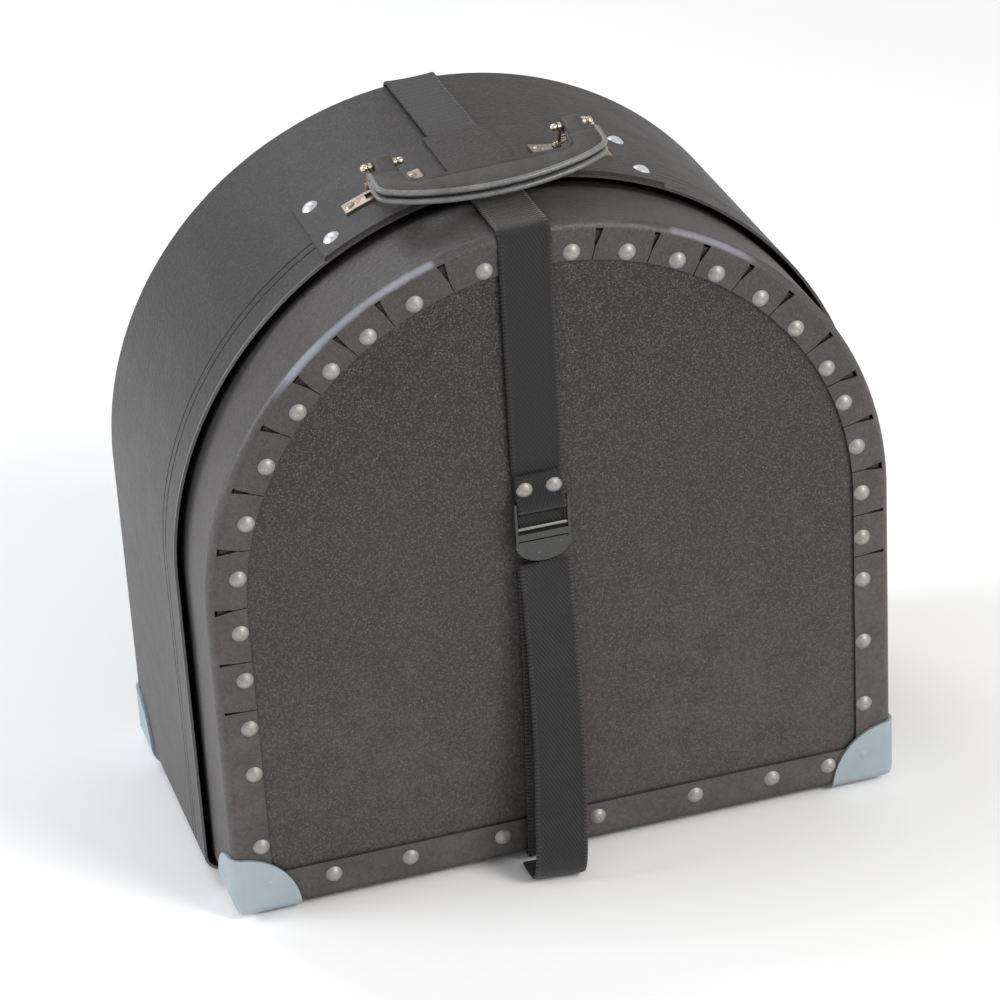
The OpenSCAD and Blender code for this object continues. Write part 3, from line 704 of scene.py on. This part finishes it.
def buckle_mesh():
    """Stamped frame: two side rails, pivot bar, toothed middle bar, lower bar and a thumb tab."""
    bm = bmesh.new()
    for s in (-1, 1):
        inner, outer = sorted((s * (BUCKLE_HALF - RAIL), s * BUCKLE_HALF))
        add_box(bm, (inner, FRAME_Y[0], -20), (outer, FRAME_Y[1], 2.8))
    add_box(bm, (-BUCKLE_HALF, -5.6, BAR_Z[0]), (BUCKLE_HALF, -3.4, BAR_Z[1]))
    for k in range(-4, 5):
        x = k * 2.3
        add_box(bm, (x - 0.6, -3.6, BAR_Z[0] + 0.3), (x + 0.6, -2.5, BAR_Z[1] - 0.3))
    add_box(bm, (-BUCKLE_HALF, -6.2, LOWER_Z[0]), (BUCKLE_HALF, -3.2, LOWER_Z[1]))
    bmesh.ops.bevel(bm, geom=bm.edges[:], offset=0.45 * MM, segments=3, affect="EDGES", profile=0.6)
    for f in bm.faces:
        middle = f.calc_center_median() / MM
        if BAR_Z[0] - 0.2 < middle.z < BAR_Z[1] + 0.2 and abs(middle.x) < BUCKLE_HALF - RAIL:
            f.material_index = 1
    add_rod(bm, BUCKLE_HALF, (BUCKLE.y - FRONT_Y) / MM, 0, ROD_R)
    add_thumb_tab(bm)
    bmesh.ops.translate(bm, verts=bm.verts, vec=(BUCKLE.x, FRONT_Y, BUCKLE.z))
    return bm


buckle = new_object("buckle_frame", buckle_mesh(), [PAINT, BAR])
smooth_by_angle(buckle, 40)
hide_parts("buckle")
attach(buckle, "buckle")

woven_lo, woven_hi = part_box("strap_woven")
woven_path = [Vector((STRAP_X, (woven_lo.y + woven_hi.y) / 2 - ahead * MM, woven_lo.z + up * MM))
              for ahead, up in ((0, 0), (0.7, 7), (1.4, 13), (1.5, 19), (1.4, 24.4))]
woven = ribbon("strap_in_buckle", [(p, FLAT, None) for p in smooth_path(woven_path, 1.5 * MM)],
               woven_hi.x - woven_lo.x)
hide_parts("strap_woven")
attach(woven, "buckle")


# ---------- handle ----------
DROOP = math.radians(8)
GRIP_BACK = Matrix.Rotation(DROOP, 3, AXIS) @ Vector((0, 1, 0))
GRIP_UP = AXIS.cross(GRIP_BACK).normalized()
pin_gap = sum(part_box("top_pin_right"), Vector()) - sum(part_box("top_pin_left"), Vector())
LINK_X = pin_gap.x / 4 / AXIS.x / MM   # links either side of the grip's middle, mm
GRIP_ORIGIN = PIN + AXIS * LINK_X * MM
HALF_GRIP = 59.6                       # half the grip's width, mm
REACH, BOW = 44.0, 128.0               # forward reach and radius of the bowed front
EAR_Y = -9.4                           # where the grip's two arms end, ahead of the pins
NOTCH_Y, NOTCH_HALF = -23.4, 41.1      # finger notch: its front and half its width


def grip_point(x, y, z):
    """Point in the grip's own frame, in millimetres; y is negative towards the front."""
    return GRIP_ORIGIN + (AXIS * x + GRIP_BACK * y + GRIP_UP * z) * MM


def rounded(corners, step=1.0):
    """Closed outline with each (x, y, radius) corner rounded."""
    out = []
    n = len(corners)
    for i in range(n):
        p, a, b = (Vector(corners[k % n][:2]) for k in (i, i - 1, i + 1))
        r = corners[i][2]
        u, v = (a - p).normalized(), (b - p).normalized()
        angle = u.angle(v)
        cut = r / math.tan(angle / 2)
        start, end = p + u * cut, p + v * cut
        centre = p + (u + v).normalized() * (r / math.sin(angle / 2))
        a0 = math.atan2(start.y - centre.y, start.x - centre.x)
        a1 = math.atan2(end.y - centre.y, end.x - centre.x)
        turn = (a1 - a0 + math.pi) % (2 * math.pi) - math.pi
        count = max(3, round(abs(turn) * r / step))
        out += [centre + Vector((math.cos(a0 + turn * k / count), math.sin(a0 + turn * k / count))) * r
                for k in range(count + 1)]
    dense = []
    for a, b in zip(out, out[1:] + out[:1]):
        count = max(1, round((b - a).length / (1.6 * step)))
        dense += [a.lerp(b, k / count) for k in range(count)]
    return dense


def grip_outline():
    """C-shaped grip seen from above: bowed front, rounded front corners, finger notch behind."""
    front = []
    for k in range(-8, 9):
        x = k * 6.0
        front.append((x, -REACH + 0.4 + BOW - math.sqrt(BOW * BOW - x * x), 60))
    shoulder = -REACH + 16.2
    corners = [(-HALF_GRIP, EAR_Y, 3), (-HALF_GRIP, shoulder, 9.5)] + front + [
        (HALF_GRIP, shoulder, 9.5), (HALF_GRIP, EAR_Y, 3), (NOTCH_HALF + 0.8, EAR_Y, 3),
        (NOTCH_HALF, NOTCH_Y, 5), (-NOTCH_HALF, NOTCH_Y, 5), (-NOTCH_HALF - 0.8, EAR_Y, 3)]
    return rounded(corners)


def pillow(outline, spacing=2.2):
    """Triangles filling an outline, with every vertex's distance to the edge."""
    xs, ys = [p.x for p in outline], [p.y for p in outline]
    pts = [Vector(p) for p in outline]

    def inside(q):
        hit = False
        for a, b in zip(outline, outline[1:] + outline[:1]):
            if (a.y > q.y) != (b.y > q.y) and q.x < (b.x - a.x) * (q.y - a.y) / (b.y - a.y) + a.x:
                hit = not hit
        return hit

    def gap(q):
        return min((q - p).length for p in outline)

    y, odd = min(ys), False
    while y < max(ys):
        x = min(xs) + (spacing / 2 if odd else 0)
        while x < max(xs):
            q = Vector((x, y))
            if inside(q) and gap(q) > 0.7 * spacing:
                pts.append(q)
            x += spacing
        y += spacing * 0.87
        odd = not odd
    n = len(outline)
    verts, _, faces, _, _, _ = geometry.delaunay_2d_cdt(pts, [], [list(range(n))], 1, 1e-6)
    return verts, faces, n, [0.0 if i < n else gap(v) for i, v in enumerate(verts)]


def outline_normals(outline):
    """Unit vectors out of a closed outline, one for each point."""
    area = sum(a.x * b.y - b.x * a.y for a, b in zip(outline, outline[1:] + outline[:1]))
    sign = 1 if area > 0 else -1
    normals = []
    for k in range(len(outline)):
        t = (outline[(k + 1) % len(outline)] - outline[k - 1]).normalized()
        normals.append(Vector((t.y, -t.x)) * sign)
    return normals


def pad_height(d):
    """Half thickness of the pad at distance d from its edge: crowned, with a stitched dip."""
    return 3.1 + 1.2 * (1 - math.exp(-max(d - 1.5, 0) / 5.0)) - 0.5 * math.exp(-((d - 2.4) / 0.9) ** 2)


def add_rolled_edge(bm, outline, normals, z):
    """Piped edge round the pad at height z, thicker and lighter along the front only; that lighter piping
    is wear with a painted highlight.
    """
    sides, n = 10, len(outline)
    on_front = [q.y < -24.5 or abs(q.x) > 58.5 for q in outline]
    rings = []
    for q, out, bright in zip(outline, normals, on_front):
        r = 1.5 if bright else 1.2
        c = q - out * (r - 0.25)
        ring = []
        for s in range(sides):
            a = 2 * math.pi * s / sides
            ring.append(bm.verts.new(grip_point(*(c + out * r * math.cos(a)), z + r * math.sin(a))))
        rings.append(ring)
    for k in range(n):
        a, b = rings[k], rings[(k + 1) % n]
        for s in range(sides):
            f = bm.faces.new((a[s], a[(s + 1) % sides], b[(s + 1) % sides], b[s]))
            # front stretch in the lighter piping: wear with a painted highlight
            f.material_index = 1 if on_front[k] else 0


def grip_mesh():
    """Padded top and bottom, a seam sunk between them and a rolled edge along each."""
    outline = grip_outline()
    normals = outline_normals(outline)
    verts, faces, n, gaps = pillow(outline)
    bm = bmesh.new()
    top = [bm.verts.new(grip_point(v.x, v.y, pad_height(d))) for v, d in zip(verts, gaps)]
    low = [bm.verts.new(grip_point(v.x, v.y, -pad_height(d))) for v, d in zip(verts, gaps)]
    for f in faces:
        bm.faces.new([top[i] for i in f])
        bm.faces.new([low[i] for i in reversed(f)])
    loops = [top[:n]]
    for z, inset in ((2.0, 1.1), (0.9, 2.0), (0.0, 2.3), (-0.9, 2.0), (-2.0, 1.1)):
        loops.append([bm.verts.new(grip_point(*(q - out * inset), z))
                      for q, out in zip(outline, normals)])
    loops.append(low[:n])
    for a, b in zip(loops, loops[1:]):
        for k in range(n):
            # the sunk seam in near-black: painted shade in the groove
            bm.faces.new((a[k], b[k], b[(k + 1) % n], a[(k + 1) % n])).material_index = 2
    for z in (2.45, -2.45):
        add_rolled_edge(bm, outline, normals, z)
    return bm


grip = new_object("grip_pad", grip_mesh(), [LEATHER, WORN_HIGHLIT_PIPING, GROOVE_SHADE])
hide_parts("handle_grip")
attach(grip, "handle")


def ear_mesh(side):
    """Leather ear: wraps the top pin and runs into the grip, with softened edges and a pin hole."""
    half, r, hole = 4.6, 4.3, 1.4
    outer = []
    for k in range(33):
        a = math.radians(-90 + k * 180 / 32)
        outer.append(Vector((r * math.cos(a), r * math.sin(a))))
    outer += [Vector((-9.6, 3.2)), Vector((-9.6, -3.2))]
    count = len(outer)
    middle = side * LINK_X
    bm = bmesh.new()
    rings = []
    for x, shrink in ((-half, 0.8), (-half + 0.25, 0.25), (-half + 0.9, 0.0),
                      (half - 0.9, 0.0), (half - 0.25, 0.25), (half, 0.8)):
        rings.append([bm.verts.new(grip_point(middle + x, p.x * (1 - shrink / 9), p.y * (1 - shrink / 5)))
                      for p in outer])
    inner = [p.normalized() * hole for p in outer]
    holes = [[bm.verts.new(grip_point(middle + x, p.x, p.y)) for p in inner] for x in (-half, half)]
    pairs = list(zip(rings, rings[1:])) + [(rings[0], holes[0]), (rings[-1], holes[1]), tuple(holes)]
    for a, b in pairs:
        for k in range(count):
            bm.faces.new((a[k], a[(k + 1) % count], b[(k + 1) % count], b[k]))
    return bm


for side, label in ((-1, "left"), (1, "right")):
    ear = new_object("grip_ear_" + label, ear_mesh(side), [LEATHER])
    smooth_by_angle(ear, 50)
    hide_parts("handle_loop_" + label)
    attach(ear, "handle")

# ---------- camera, floor, light ----------
scene = bpy.context.scene
camera_data = bpy.data.cameras.new("camera")
camera_data.lens = 142.4
camera_data.sensor_width = 36.0
camera_data.clip_start, camera_data.clip_end = 0.05, 60.0
camera = bpy.data.objects.new("camera", camera_data)
scene.collection.objects.link(camera)
CAMERA_RIGHT = Vector((0.95236, -0.30026, -0.05338))
CAMERA_UP = Vector((0.18755, 0.43862, 0.87888))
CAMERA_BACK = Vector((-0.24047, -0.84703, 0.47404))
facing = Matrix((CAMERA_RIGHT, CAMERA_UP, CAMERA_BACK)).transposed().to_4x4()
camera.matrix_world = Matrix.Translation((-0.49898, FRONT_Y - 1.66010, 1.14293)) @ facing
scene.camera = camera

floor_bm = bmesh.new()
bmesh.ops.create_grid(floor_bm, x_segments=8, y_segments=8, size=12.0)
floor = new_object("studio_floor", floor_bm, [])
floor_mat = Mat("studio_floor", Roughness=0.9, Specular_IOR_Level=0.1)
mottle = floor_mat.noise(floor_mat.coords(), 3.0, 2.0)
pale = floor_mat.mix(mottle, rgb(0.86, 0.86, 0.86), rgb(0.88, 0.88, 0.88))
floor.data.materials.append(floor_mat.set(Base_Color=pale))


def area_light(name, place, target, size, power, colour):
    data = bpy.data.lights.new(name, "AREA")
    data.shape, data.size, data.energy, data.color = "DISK", size, power, colour
    light = bpy.data.objects.new(name, data)
    scene.collection.objects.link(light)
    light.location = place
    light.rotation_mode = "QUATERNION"
    light.rotation_quaternion = (Vector(target) - Vector(place)).to_track_quat("-Z", "Y")


area_light("key", (1.25, -1.7, 1.7), (0, 0, 0.12), 1.0, 42, (1.0, 0.98, 0.95))
area_light("fill", (-2.2, 0.5, 1.2), (0, 0, 0.15), 1.2, 38, (0.93, 0.95, 1.0))
area_light("rim", (-0.7, 1.9, 2.2), (0, 0, 0.25), 1.2, 16, (0.96, 0.97, 1.0))
world = bpy.data.worlds.new("studio")
world.use_nodes = True
sky = world.node_tree.nodes["Background"]
sky.inputs["Color"].default_value = rgb(1.0, 1.0, 1.0)
sky.inputs["Strength"].default_value = 0.62
scene.world = world
scene.view_settings.view_transform = "Standard"
